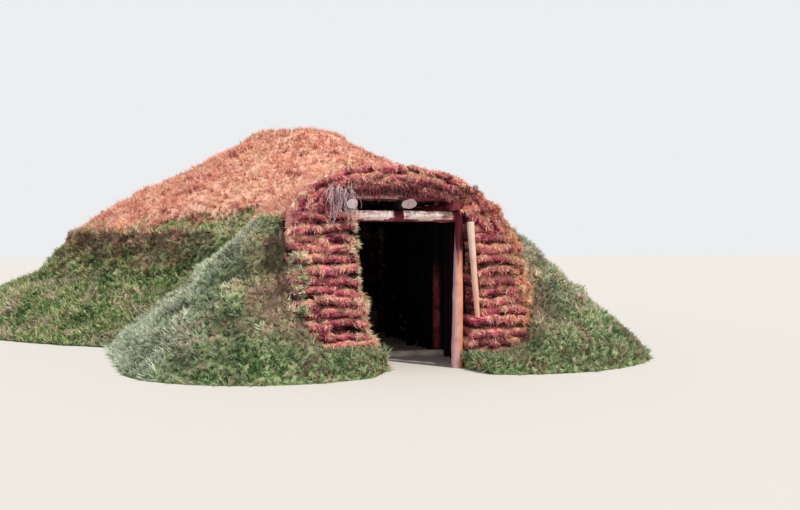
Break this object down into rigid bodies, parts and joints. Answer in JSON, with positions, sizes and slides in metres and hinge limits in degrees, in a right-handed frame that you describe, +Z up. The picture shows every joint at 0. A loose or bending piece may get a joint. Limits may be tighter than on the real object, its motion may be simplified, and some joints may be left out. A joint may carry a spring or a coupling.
{
  "type": "turf-covered earth lodge",
  "caption": "Round timber-framed earth lodge with a turf bank, a thatched roof with a smoke hole, and a covered entrance passage between walls of stacked sods.",
  "frame": {"origin": "on the ground, in the middle of the plan's length and width", "axes": "+Z up, +Y from the doorway towards the back of the lodge, +X to the right for someone who faces the doorway"},
  "size_m": [15.2, 18.6499, 4.5758],
  "materials": {
    "turf": "growing grass on sods",
    "thatch": "dry grass",
    "sod": "dried earth and roots",
    "bark_timber": "logs with weathered bark",
    "bare_timber": "peeled and bleached logs"
  },
  "bodies": {
    "root": {"turf_bank_1": "turf", "turf_bank_2": "turf", "turf_bank_3": "turf", "turf_bank_4": "turf", "turf_bank_5": "turf", "turf_bank_6": "turf", "turf_bank_7": "turf", "turf_bank_8": "turf", "thatch_roof_1": "thatch", "thatch_roof_2": "thatch", "thatch_roof_3": "thatch", "thatch_roof_4": "thatch", "thatch_roof_5": "thatch", "thatch_roof_6": "thatch", "thatch_roof_7": "thatch", "thatch_roof_8": "thatch", "smoke_hole_collar": "thatch", "centre_posts": "bark_timber", "centre_beams": "bark_timber", "outer_posts": "bark_timber", "outer_beams": "bark_timber", "rafters": "bark_timber", "wall_poles": "bark_timber", "passage_posts_left": "bark_timber", "passage_posts_right": "bark_timber", "passage_lintels": "bark_timber", "front_post_left": "bark_timber", "front_post_right": "bare_timber", "front_lintel": "bare_timber", "upper_cross_log": "bare_timber", "roof_poles": "bark_timber", "passage_cross_poles": "bark_timber", "passage_lining_left": "bark_timber", "passage_lining_right": "bark_timber", "leaning_pole": "bare_timber", "threshold_log": "bare_timber", "sod_pier_left": "sod", "sod_pier_right": "sod", "sod_wall_left": "sod", "sod_wall_right": "sod", "sod_header": "sod", "passage_cover": "thatch", "berm_left": "turf", "berm_right": "turf"}
  },
  "joints": []
}
